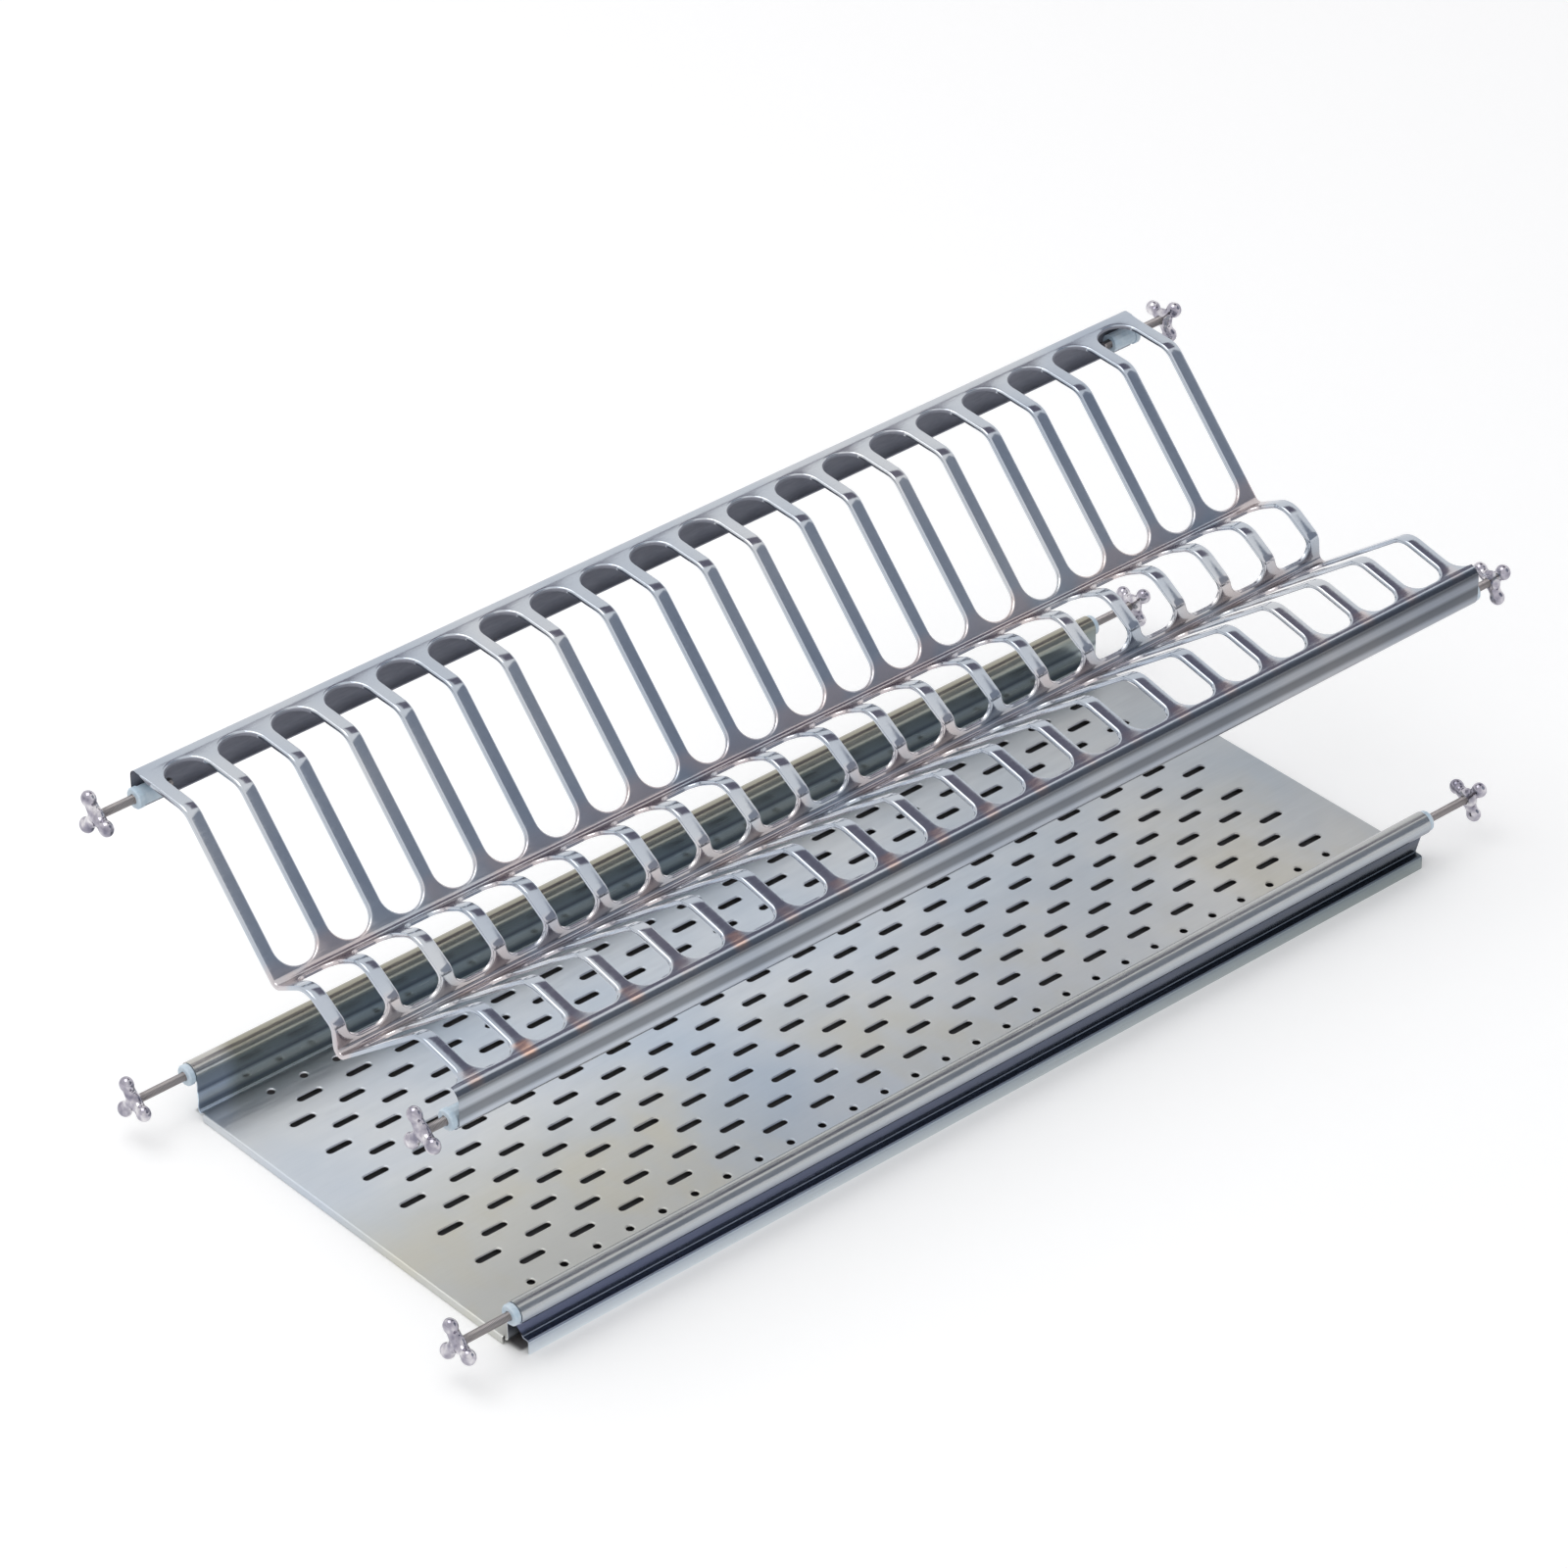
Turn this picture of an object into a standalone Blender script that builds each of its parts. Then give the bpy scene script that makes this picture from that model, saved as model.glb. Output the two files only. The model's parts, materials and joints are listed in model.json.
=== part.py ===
"""Built-in dish drainer for a wall cabinet: a slotted plate rack pressed from one stainless sheet above a
perforated drip tray, each held between the cabinet's side panels by four screw-out star feet."""

import math

import bmesh
import bpy
from mathutils import Matrix, Vector

# Sheet metal
SHEET = 0.0008
CLEARANCE = 0.0003

# Plate rack: layout along its length
SLAT_COUNT = 21
SLAT_PITCH = 0.0345
SLAT_WIDTH = 0.009
FRONT_RAIL_OVERHANG = 0.009

# Plate rack: section, rear to front, heights above the tray's sheet
RACK_ROD_SPAN = 0.2609
HEM_RADIUS = 0.0066
HEM_WRAP = math.radians(100)
REAR_TOP_RISE = 0.0758
REAR_ROD_DROP = 0.0143
REAR_EDGE_RADIUS = 0.004
SHOULDER_DEPTH = 0.091
SHOULDER_DROP = 0.0026
SHOULDER_RADIUS = 0.014
SEAT_DEPTH = 0.0225
SEAT_HEIGHT = 0.1500
SEAT_RADIUS = 0.004
HUMP_DEPTH = -0.003
HUMP_RISE = 0.0140
HUMP_RADIUS = 0.016
BROW_DEPTH = -0.0255
BROW_DROP = 0.0140
BROW_RADIUS = 0.008
SILL_DEPTH = -0.0270
SILL_DROP = 0.0170
SILL_RADIUS = 0.003
CREST_DEPTH = -0.094
CREST_RISE = 0.0515
CREST_RADIUS = 0.016
FRONT_TOP_DROP = 0.0091
FRONT_ROD_DROP = 0.0174
FRONT_EDGE_RADIUS = 0.007

# Plate rack: windows between the slats
REAR_STRIP = 0.0085
SEAT_RAIL = 0.0040
HUMP_RAIL = 0.0045
SILL_RAIL = 0.0040
FRONT_STRIP = 0.0065
LONG_WINDOW_RADIUS = 0.0120
HUMP_WINDOW_RADIUS = 0.0080
FRONT_WINDOW_RADIUS = 0.0090
LIP_REACH = 0.0014
LIP_DEPTH = 0.0022

# Drip tray
TRAY_ROD_SPAN = 0.2700
TRAY_HALF = 0.3270
TRAY_ROLL_RADIUS = 0.0062
TRAY_ROD_HEIGHT = 0.0218
TRAY_REAR_WRAP = math.radians(255)
TRAY_FRONT_WRAP = math.radians(270)
TRAY_BEND_RADIUS = 0.002
TRAY_SIDE_TURN = 0.0042
TRAY_SIDE_RADIUS = 0.0015
DRIP_LIP_HALF = 0.3225
DRIP_LIP_TOP = 0.0038
DRIP_LIP_DROP = 0.0045
DRIP_LIP_REACH = 0.0050
DRIP_LIP_RADIUS = 0.0012

# Drip tray: drain holes
SLOT_END_MARGIN = 0.02675
SLOT_LENGTH = 0.0165
SLOT_WIDTH = 0.0045
SLOT_ROWS = 13
SLOT_COLUMNS = 18
DRAIN_REAR_MARGIN = 0.0075
DRAIN_FRONT_MARGIN = 0.0251
ROW_STAGGER_SHARE = 0.25
HOLE_DIAMETER = 0.0050
HOLE_PITCH_SHARE = 2 / 3
HOLE_COLUMNS = 27

# Screw-out feet
ROD_RADIUS = 0.0025
RACK_ROD_INSERT = 0.0205
TRAY_ROD_INSERT = 0.0110
ROD_SEAT = 0.0050
PLUG_COLLAR = 0.0035
PLUG_CHAMFER = 0.0008
PLUG_DEPTH = 0.0160
STAR_HUB_RADIUS = 0.0062
STAR_ARM_RADIUS = 0.0115
STAR_TIP_RADIUS = 0.0036
STAR_THICKNESS = 0.0080
STAR_BEVEL = 0.0010
STAR_ARMS = 3
RACK_FOOT_STANDOFF = 0.0235
TRAY_FOOT_STANDOFF = 0.0420
RIGHT_STAR_TURN = math.radians(40)
LEFT_STAR_TURN = math.radians(-20)

# Facets
CORNER_STEPS = 3
BEND_STEPS = 2
ROLL_STEPS = 12
HEM_STEPS = 4
SLOT_END_STEPS = 2
HOLE_SIDES = 6
ROUND_SIDES = 14
ROD_SIDES = 12
TIP_STEPS = 4

# Height of the tray's sheet, which puts the drip lip's lower edge at zero
TRAY_HEIGHT = DRIP_LIP_DROP

# Window and sheet sizes that follow from the layout
WINDOW_HALF = (SLAT_PITCH - SLAT_WIDTH) / 2
LAST_SLAT = (SLAT_COUNT - 1) / 2 * SLAT_PITCH
SLATS_HALF = LAST_SLAT + SLAT_WIDTH / 2
RACK_FRONT_HALF = SLATS_HALF + FRONT_RAIL_OVERHANG
REAR_TOP_HEIGHT = SEAT_HEIGHT + REAR_TOP_RISE
REAR_ROD_HEIGHT = REAR_TOP_HEIGHT - REAR_ROD_DROP
SHOULDER_HEIGHT = REAR_TOP_HEIGHT - SHOULDER_DROP
HUMP_HEIGHT = SEAT_HEIGHT + HUMP_RISE
BROW_HEIGHT = HUMP_HEIGHT - BROW_DROP
SILL_HEIGHT = SEAT_HEIGHT - SILL_DROP
CREST_HEIGHT = SILL_HEIGHT + CREST_RISE
FRONT_TOP_HEIGHT = CREST_HEIGHT - FRONT_TOP_DROP
FRONT_ROD_HEIGHT = FRONT_TOP_HEIGHT - FRONT_ROD_DROP
RACK_FOOT_REACH = RACK_FRONT_HALF + RACK_FOOT_STANDOFF
TRAY_FOOT_REACH = TRAY_HALF + TRAY_FOOT_STANDOFF
TRAY_FLOOR_HALF = TRAY_HALF - TRAY_SIDE_RADIUS
TRAY_FLOOR_END = TRAY_ROD_SPAN / 2 - TRAY_ROLL_RADIUS - TRAY_BEND_RADIUS * 2
SLOT_REACH = TRAY_FLOOR_HALF - SLOT_END_MARGIN - SLOT_LENGTH / 2
SLOT_PITCH = SLOT_REACH / ((SLOT_COLUMNS - 1) / 2 + ROW_STAGGER_SHARE)
ROW_PITCH = (TRAY_FLOOR_END * 2 - DRAIN_REAR_MARGIN - DRAIN_FRONT_MARGIN) / (SLOT_ROWS + 1)
ROWS_CENTRE_DEPTH = (DRAIN_FRONT_MARGIN - DRAIN_REAR_MARGIN) / 2


def material(name, colour, roughness, metallic):
    """A plain surface with one colour."""
    made = bpy.data.materials.new(name)
    made.use_nodes = True
    shader = made.node_tree.nodes["Principled BSDF"]
    shader.inputs["Base Color"].default_value = (*colour, 1)
    shader.inputs["Roughness"].default_value = roughness
    shader.inputs["Metallic"].default_value = metallic
    made.diffuse_color = (*colour, 1)
    return made


def add_object(name, mesh, surface, location=(0, 0, 0), rotation=(0, 0, 0)):
    """A named piece in the scene."""
    if surface.name not in mesh.materials:
        mesh.materials.append(surface)
    made = bpy.data.objects.new(name, mesh)
    made.location = location
    made.rotation_euler = rotation
    bpy.context.scene.collection.objects.link(made)
    return made


def arc(centre, radius, start, sweep, steps):
    """Points on an arc in the section plane, from angle start over sweep."""
    points = []
    for step in range(steps + 1):
        angle = start + sweep * step / steps
        points.append(centre + radius * Vector((math.cos(angle), math.sin(angle))))
    return points


def rounded(corners, steps):
    """Points along corners (place, radius), each corner replaced by an arc of its radius."""
    points = [corners[0][0]]
    for index in range(1, len(corners) - 1):
        place, radius = corners[index]
        back = (corners[index - 1][0] - place).normalized()
        ahead = (corners[index + 1][0] - place).normalized()
        half = back.angle(ahead) / 2
        reach = radius / math.tan(half)
        centre = place + (back + ahead).normalized() * radius / math.sin(half)
        first = place + back * reach - centre
        sweep = first.angle_signed(place + ahead * reach - centre)
        for step in range(steps + 1):
            turn = Matrix.Rotation(-sweep * step / steps, 2)
            points.append(centre + turn @ first)
    points.append(corners[-1][0])
    return points


class Path:
    """A section line that can be asked for a place and an outward normal at any length along it."""

    def __init__(self, points):
        self.points = points
        self.lengths = [0.0]
        for before, after in zip(points, points[1:]):
            self.lengths.append(self.lengths[-1] + (after - before).length)

    def segment(self, length):
        for index in range(len(self.points) - 2):
            if length < self.lengths[index + 1]:
                return index
        return len(self.points) - 2

    def place(self, length):
        index = self.segment(length)
        share = (length - self.lengths[index]) / (self.lengths[index + 1] - self.lengths[index])
        return self.points[index].lerp(self.points[index + 1], share)

    def side(self, index):
        along = (self.points[index + 1] - self.points[index]).normalized()
        return Vector((along.y, -along.x))

    def normal(self, length):
        """Outward normal, blended across a vertex of the line."""
        index = self.segment(length)
        span = self.lengths[index + 1] - self.lengths[index]
        share = (length - self.lengths[index]) / span
        here = self.side(index)
        before = self.side(max(index - 1, 0))
        after = self.side(min(index + 1, len(self.points) - 2))
        start = (before + here).normalized()
        end = (here + after).normalized()
        return start.lerp(end, share).normalized()

    def nearest_length(self, place):
        """Length along the line of the point nearest to a place."""
        best = (math.inf, 0.0)
        for index in range(len(self.points) - 1):
            start = self.points[index]
            run = self.points[index + 1] - start
            share = min(max((place - start).dot(run) / run.length_squared, 0), 1)
            gap = (start + run * share - place).length
            best = min(best, (gap, self.lengths[index] + run.length * share))
        return best[1]


def rack_section():
    """Section of the plate rack from its rear hem over the slats to its front hem."""
    rear = RACK_ROD_SPAN / 2
    front = -rear
    rear_rod = Vector((rear, REAR_ROD_HEIGHT))
    front_rod = Vector((front, FRONT_ROD_HEIGHT))
    rear_wall = rear + HEM_RADIUS
    front_wall = front - HEM_RADIUS
    seat = Vector((SEAT_DEPTH, SEAT_HEIGHT))
    sill = Vector((SILL_DEPTH, SILL_HEIGHT))
    front_edge = Vector((front_wall, FRONT_TOP_HEIGHT))
    rear_edge = Vector((rear_wall, REAR_TOP_HEIGHT))
    hem_in = arc(rear_rod, HEM_RADIUS, -HEM_WRAP, HEM_WRAP, HEM_STEPS)
    hem_out = arc(front_rod, HEM_RADIUS, math.pi, HEM_WRAP, HEM_STEPS)
    corners = [
        (hem_in[-1], 0),
        (rear_edge, REAR_EDGE_RADIUS),
        (Vector((SHOULDER_DEPTH, SHOULDER_HEIGHT)), SHOULDER_RADIUS),
        (seat, SEAT_RADIUS),
        (Vector((HUMP_DEPTH, HUMP_HEIGHT)), HUMP_RADIUS),
        (Vector((BROW_DEPTH, BROW_HEIGHT)), BROW_RADIUS),
        (sill, SILL_RADIUS),
        (Vector((CREST_DEPTH, CREST_HEIGHT)), CREST_RADIUS),
        (front_edge, FRONT_EDGE_RADIUS),
        (hem_out[0], 0),
    ]
    points = hem_in[:-1] + rounded(corners, BEND_STEPS) + hem_out[1:]
    lifted = [point + Vector((0, TRAY_HEIGHT)) for point in points]
    lift = Vector((0, TRAY_HEIGHT))
    marks = {"rear": rear_edge + lift, "seat": seat + lift, "sill": sill + lift, "front": front_edge + lift}
    return Path(lifted), marks


def window_row(path, start, end, radius):
    """Stations of one row of windows: the sheet's edge and the turned-down lip's edge at each."""
    rows = []
    wide = radius + LIP_REACH
    vertices = path.lengths
    step = math.pi / 2 / CORNER_STEPS

    def corner_angles(origin, sense):
        angles = [step * index for index in range(CORNER_STEPS + 1)]
        for length in vertices:
            run = (length - origin) * sense
            if 0 < run < wide:
                angle = math.acos(1 - run / wide)
                angles = [kept for kept in angles if abs(kept - angle) > step / 3 or kept in (0, angles[-1])]
                if step / 6 < angle < math.pi / 2 - step / 6:
                    angles.append(angle)
        return sorted(angles)

    def corner(angle, outer, inner, sense):
        back = 1 - math.cos(angle)
        aside = 1 - math.sin(angle)
        return {
            "length": outer + sense * wide * back,
            "half": WINDOW_HALF + LIP_REACH - wide * aside,
            "lip_length": inner + sense * radius * back,
            "lip_half": WINDOW_HALF - radius * aside,
            "turn": math.sin(angle),
        }

    outer_start = start - LIP_REACH
    outer_end = end + LIP_REACH
    for angle in corner_angles(outer_start, 1):
        rows.append(corner(angle, outer_start, start, 1))
    for length in vertices:
        if outer_start + wide < length < outer_end - wide:
            rows.append({
                "length": length,
                "half": WINDOW_HALF + LIP_REACH,
                "lip_length": length,
                "lip_half": WINDOW_HALF,
                "turn": 1.0,
            })
    for angle in reversed(corner_angles(outer_end, -1)):
        rows.append(corner(angle, outer_end, end, -1))
    return rows


def rack_mesh():
    """The plate rack's sheet, with slats stiffened by the windows' turned-down lips."""
    path, marks = rack_section()
    at = {name: path.nearest_length(place) for name, place in marks.items()}
    rows = [
        window_row(path, at["rear"] + REAR_STRIP, at["seat"] - SEAT_RAIL, LONG_WINDOW_RADIUS),
        window_row(path, at["seat"] + SEAT_RAIL, at["sill"] - HUMP_RAIL, HUMP_WINDOW_RADIUS),
        window_row(path, at["sill"] + SILL_RAIL, at["front"] - FRONT_STRIP, FRONT_WINDOW_RADIUS),
    ]
    centres = [(index - (SLAT_COUNT - 2) / 2) * SLAT_PITCH for index in range(SLAT_COUNT - 1)]
    edge_in = SLATS_HALF - LIP_REACH
    first, last = rows[0], rows[-1]
    taken = [(row[0]["length"], row[-1]["length"]) for row in rows]
    stations = []
    for number, row in enumerate(rows):
        for place, item in enumerate(row):
            flare = 0.0
            if number == 0 and item["length"] < (first[0]["length"] + first[-1]["length"]) / 2:
                flare = 1 - item["turn"]
            if row is last and item["length"] > (last[0]["length"] + last[-1]["length"]) / 2:
                flare = 1 - item["turn"]
            stations.append({**item, "row": number, "flare": flare})
    for length in path.lengths:
        if not any(start - SHEET < length < end + SHEET for start, end in taken):
            slats = first[0]["length"] < length < last[-1]["length"]
            stations.append({"length": length, "row": None, "flare": 0.0 if slats else 1.0})
    stations.sort(key=lambda item: item["length"])

    mesh = bmesh.new()

    def vertex(x, length, depth=0.0):
        place = path.place(length) - path.normal(length) * depth
        return mesh.verts.new((x, place.x, place.y))

    for item in stations:
        rail_half = SLATS_HALF if item["length"] < at["seat"] else RACK_FRONT_HALF
        edge = edge_in + (rail_half - edge_in) * item["flare"]
        out = edge + LIP_REACH * (1 - item["flare"])
        slats = first[0]["length"] <= item["length"] <= last[-1]["length"]
        depth = LIP_DEPTH if slats else SHEET
        under = item.get("lip_length", item["length"])
        item["top"] = [vertex(-edge, item["length"])]
        item["under"] = [vertex(-out, under, depth)]
        for centre in centres if item["row"] is not None else ():
            for sign in (-1, 1):
                item["top"].append(vertex(centre + sign * item["half"], item["length"]))
                item["under"].append(vertex(centre + sign * item["lip_half"], under, depth))
        item["top"].append(vertex(edge, item["length"]))
        item["under"].append(vertex(out, under, depth))

    for near, far in zip(stations, stations[1:]):
        for layer in ("top", "under"):
            here, there = near[layer], far[layer]
            if near["row"] is not None and near["row"] == far["row"]:
                for index in range(0, len(here), 2):
                    mesh.faces.new([here[index], here[index + 1], there[index + 1], there[index]])
            else:
                mesh.faces.new(here + there[::-1])
        same = near["row"] is not None and near["row"] == far["row"]
        rims = range(len(near["top"])) if same else (0, len(near["top"]) - 1)
        for index in rims:
            other = index if same or index == 0 else len(far["top"]) - 1
            pair = [near["top"][index], far["top"][other], far["under"][other], near["under"][index]]
            mesh.faces.new(pair)
    for number in range(len(rows)):
        ends = [item for item in stations if item["row"] == number]
        for item in (ends[0], ends[-1]):
            for index in range(1, len(item["top"]) - 1, 2):
                pair = [item["top"][index], item["top"][index + 1], item["under"][index + 1], item["under"][index]]
                mesh.faces.new(pair)
    for item in (stations[0], stations[-1]):
        mesh.faces.new(item["top"] + item["under"][::-1])
    return finished(mesh, "plate_rack")


def finished(mesh, name):
    """Faces turned outward and shaded smooth, as a mesh of that name."""
    bmesh.ops.recalc_face_normals(mesh, faces=mesh.faces)
    made = bpy.data.meshes.new(name)
    mesh.to_mesh(made)
    mesh.free()
    made.shade_smooth()
    made.set_sharp_from_angle(angle=math.radians(50))
    return made


def thicken(made):
    """The sheet's thickness, half on each side of its surface."""
    solid = made.modifiers.new("sheet", "SOLIDIFY")
    solid.thickness = SHEET
    solid.offset = 0
    solid.use_even_offset = True
    return made


def tray_section():
    """Section of the tray as (place, half length): rear roll and wall, then front wall, roll and drip lip."""
    rear = TRAY_ROD_SPAN / 2
    wall = rear - TRAY_ROLL_RADIUS
    roll = arc(Vector((rear, TRAY_ROD_HEIGHT)), TRAY_ROLL_RADIUS, math.pi - TRAY_REAR_WRAP, TRAY_REAR_WRAP, ROLL_STEPS)
    drop = [(roll[-1], 0), (Vector((wall, 0)), TRAY_BEND_RADIUS), (Vector((TRAY_FLOOR_END, 0)), 0)]
    rear_part = [(point, TRAY_HALF) for point in roll[:-1] + rounded(drop, BEND_STEPS)[:-1]]
    tube = arc(Vector((-rear, TRAY_ROD_HEIGHT)), TRAY_ROLL_RADIUS, 0, TRAY_FRONT_WRAP, ROLL_STEPS)
    rise = [(Vector((-TRAY_FLOOR_END, 0)), 0), (Vector((-wall, 0)), TRAY_BEND_RADIUS), (tube[0], 0)]
    neck = Vector((-rear, DRIP_LIP_TOP))
    toe = Vector((-rear - DRIP_LIP_REACH, DRIP_LIP_TOP))
    lip_end = Vector((toe.x, -DRIP_LIP_DROP))
    lip = [(tube[-1], 0), (neck, DRIP_LIP_RADIUS), (toe, DRIP_LIP_RADIUS), (lip_end, 0)]
    front_part = [(point, TRAY_HALF) for point in rounded(rise, BEND_STEPS)[1:] + tube[1:]]
    front_part += [(point, DRIP_LIP_HALF) for point in rounded(lip, BEND_STEPS)[1:]]
    floor_rear = (Vector((TRAY_FLOOR_END, 0)), TRAY_FLOOR_HALF)
    floor_front = (Vector((-TRAY_FLOOR_END, 0)), TRAY_FLOOR_HALF)
    return rear_part + [floor_rear], [floor_front] + front_part


def slot_outline(x, y):
    """A round-ended slot along the tray."""
    radius = SLOT_WIDTH / 2
    reach = SLOT_LENGTH / 2 - radius
    points = []
    for sign in (1, -1):
        for step in range(SLOT_END_STEPS + 1):
            angle = math.pi * (step / SLOT_END_STEPS - 1 / 2)
            points.append((x + sign * (reach + radius * math.cos(angle)), y + sign * radius * math.sin(angle)))
    return points


def hole_outline(x, y):
    """A small round hole."""
    turns = [math.tau * index / HOLE_SIDES for index in range(HOLE_SIDES)]
    return [(x + HOLE_DIAMETER / 2 * math.cos(turn), y + HOLE_DIAMETER / 2 * math.sin(turn)) for turn in turns]


def tray_outlines():
    """Every drain slot and hole of the tray."""
    outlines = []
    for row in range(SLOT_ROWS):
        y = ROWS_CENTRE_DEPTH + (row - (SLOT_ROWS - 1) / 2) * ROW_PITCH
        shift = ROW_STAGGER_SHARE * (1 if row % 2 == 0 else -1)
        for column in range(SLOT_COLUMNS):
            outlines.append(slot_outline((column - (SLOT_COLUMNS - 1) / 2 + shift) * SLOT_PITCH, y))
    reach = (SLOT_ROWS + 1) / 2 * ROW_PITCH
    for y in (ROWS_CENTRE_DEPTH - reach, ROWS_CENTRE_DEPTH + reach):
        for column in range(HOLE_COLUMNS):
            x = (column - (HOLE_COLUMNS - 1) / 2) * SLOT_PITCH * HOLE_PITCH_SHARE
            outlines.append(hole_outline(x, y))
    return outlines


def tray_mesh():
    """The tray's sheet as one surface: pierced floor, rolled edges and turned-down sides."""
    rear_part, front_part = tray_section()
    mesh = bmesh.new()

    def sweep(part):
        lines = []
        for point, half in part:
            lines.append([mesh.verts.new((sign * half, point.x, TRAY_HEIGHT + point.y)) for sign in (-1, 1)])
        for near, far in zip(lines, lines[1:]):
            mesh.faces.new([near[0], near[1], far[1], far[0]])
        return lines

    rear_line = sweep(rear_part)[-1]
    front_line = sweep(front_part)[0]
    edges = []
    border = [rear_line[0], rear_line[1], front_line[1], front_line[0]]
    for index, corner in enumerate(border):
        pair = (border[index - 1], corner)
        edges.append(mesh.edges.get(pair) or mesh.edges.new(pair))
    for outline in tray_outlines():
        ring = [mesh.verts.new((x, y, TRAY_HEIGHT)) for x, y in outline]
        for index, corner in enumerate(ring):
            edges.append(mesh.edges.new((ring[index - 1], corner)))
    bmesh.ops.triangle_fill(mesh, edges=edges, use_beauty=True, use_dissolve=False, normal=(0, 0, 1))

    for side, sign in ((0, -1), (1, 1)):
        corner = Vector((sign * TRAY_FLOOR_HALF, 0))
        turned = rounded([
            (corner, 0),
            (corner + Vector((sign * TRAY_SIDE_RADIUS, 0)), TRAY_SIDE_RADIUS / 2),
            (corner + Vector((sign * TRAY_SIDE_RADIUS, -TRAY_SIDE_TURN)), 0),
        ], BEND_STEPS)
        before = (rear_line[side], front_line[side])
        for point in turned[1:]:
            after = []
            for end in (rear_line[side], front_line[side]):
                after.append(mesh.verts.new((point.x, end.co.y, TRAY_HEIGHT + point.y)))
            mesh.faces.new([before[0], before[1], after[1], after[0]])
            before = after
    return finished(mesh, "drip_tray")


def turned_mesh(name, profile, sides, closed):
    """A solid turned about X from (x, radius) points: a ring when closed, else with flat ends."""
    mesh = bmesh.new()
    rings = []
    for x, radius in profile:
        ring = []
        for index in range(sides):
            turn = math.tau * index / sides
            ring.append(mesh.verts.new((x, radius * math.sin(turn), radius * math.cos(turn))))
        rings.append(ring)
    pairs = list(zip(rings, rings[1:]))
    if closed:
        pairs.append((rings[-1], rings[0]))
    else:
        mesh.faces.new(rings[0])
        mesh.faces.new(rings[-1])
    for near, far in pairs:
        for index in range(sides):
            mesh.faces.new([near[index - 1], near[index], far[index], far[index - 1]])
    return finished(mesh, name)


def plug_mesh(name, barrel):
    """An end plug with a bore for the rod: x is zero at its outer face."""
    collar = barrel + CLEARANCE + SHEET / 2
    bore = ROD_RADIUS + CLEARANCE
    under = -PLUG_COLLAR
    profile = [
        (0, bore),
        (0, collar - PLUG_CHAMFER),
        (-PLUG_CHAMFER, collar),
        (under, collar),
        (under, barrel),
        (under - PLUG_DEPTH, barrel),
        (under - PLUG_DEPTH, bore),
    ]
    return turned_mesh(name, profile, ROUND_SIDES, True)


def rod_mesh(name, length):
    """A threaded rod: x is zero at its outer end."""
    chamfer = ROD_RADIUS / 4
    profile = [
        (-length, ROD_RADIUS - chamfer),
        (chamfer - length, ROD_RADIUS),
        (0, ROD_RADIUS),
    ]
    return turned_mesh(name, profile, ROD_SIDES, False)


def star_mesh():
    """A three-armed star foot with a seat for the rod's end: x is zero at its outer face."""
    mesh = bmesh.new()
    outline = []
    spread = math.radians(105)
    for arm in range(STAR_ARMS):
        heading = math.tau * arm / STAR_ARMS
        tip = STAR_ARM_RADIUS * Vector((math.sin(heading), math.cos(heading)))
        for step in range(TIP_STEPS + 1):
            turn = heading + spread * (2 * step / TIP_STEPS - 1)
            outline.append(tip + STAR_TIP_RADIUS * Vector((math.sin(turn), math.cos(turn))))
        for share in (1 / 3, 2 / 3):
            turn = heading + math.tau / STAR_ARMS * share
            outline.append(STAR_HUB_RADIUS * Vector((math.sin(turn), math.cos(turn))))
    front = [mesh.verts.new((0, point.x, point.y)) for point in outline]
    back = [mesh.verts.new((-STAR_THICKNESS, point.x, point.y)) for point in outline]
    mesh.faces.new(front)
    mesh.faces.new(back)
    for index in range(len(outline)):
        mesh.faces.new([front[index - 1], front[index], back[index], back[index - 1]])
    blank = bpy.data.objects.new("star_blank", finished(mesh, "star_blank"))
    bore = ROD_RADIUS + CLEARANCE
    depth = ROD_SEAT + CLEARANCE
    profile = [(-STAR_THICKNESS - depth, bore), (-STAR_THICKNESS + depth, bore)]
    cutter = bpy.data.objects.new("star_cutter", turned_mesh("star_cutter", profile, ROD_SIDES, False))
    for guide in (blank, cutter):
        bpy.context.scene.collection.objects.link(guide)
    bevel = blank.modifiers.new("rounding", "BEVEL")
    bevel.width = STAR_BEVEL
    bevel.segments = 1
    bevel.limit_method = "ANGLE"
    bevel.angle_limit = math.radians(60)
    cut = blank.modifiers.new("rod_seat", "BOOLEAN")
    cut.operation = "DIFFERENCE"
    cut.object = cutter
    bpy.context.view_layer.update()
    seen = blank.evaluated_get(bpy.context.evaluated_depsgraph_get())
    made = bpy.data.meshes.new_from_object(seen)
    made.name = "star_foot"
    made.shade_smooth()
    made.set_sharp_from_angle(angle=math.radians(50))
    for guide in (blank, cutter):
        bpy.data.objects.remove(guide)
    return made


def add_feet(prefix, rods, reach, inner, barrel, surfaces):
    """Plug, rod and star at both ends of each rod line, given as (name, half length of its rail, y, z)."""
    end = reach - STAR_THICKNESS + ROD_SEAT
    plug = plug_mesh(f"{prefix}_plug", barrel)
    rod = rod_mesh(f"{prefix}_rod", end - inner)
    for where, half, y, z in rods:
        face = half + PLUG_COLLAR + CLEARANCE
        for side, sign, half_turn, star_turn in (
            ("left", -1, math.pi, LEFT_STAR_TURN),
            ("right", 1, 0, RIGHT_STAR_TURN),
        ):
            label = f"{where}_{side}"
            turn = (0, 0, half_turn)
            add_object(f"{prefix}_plug_{label}", plug, surfaces["plug"], (sign * face, y, z), turn)
            add_object(f"{prefix}_rod_{label}", rod, surfaces["rod"], (sign * end, y, z), turn)
            spin = (sign * star_turn, 0, half_turn)
            add_object(f"{prefix}_star_{label}", STAR["mesh"], surfaces["star"], (sign * reach, y, z), spin)


STAR = {}


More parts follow.
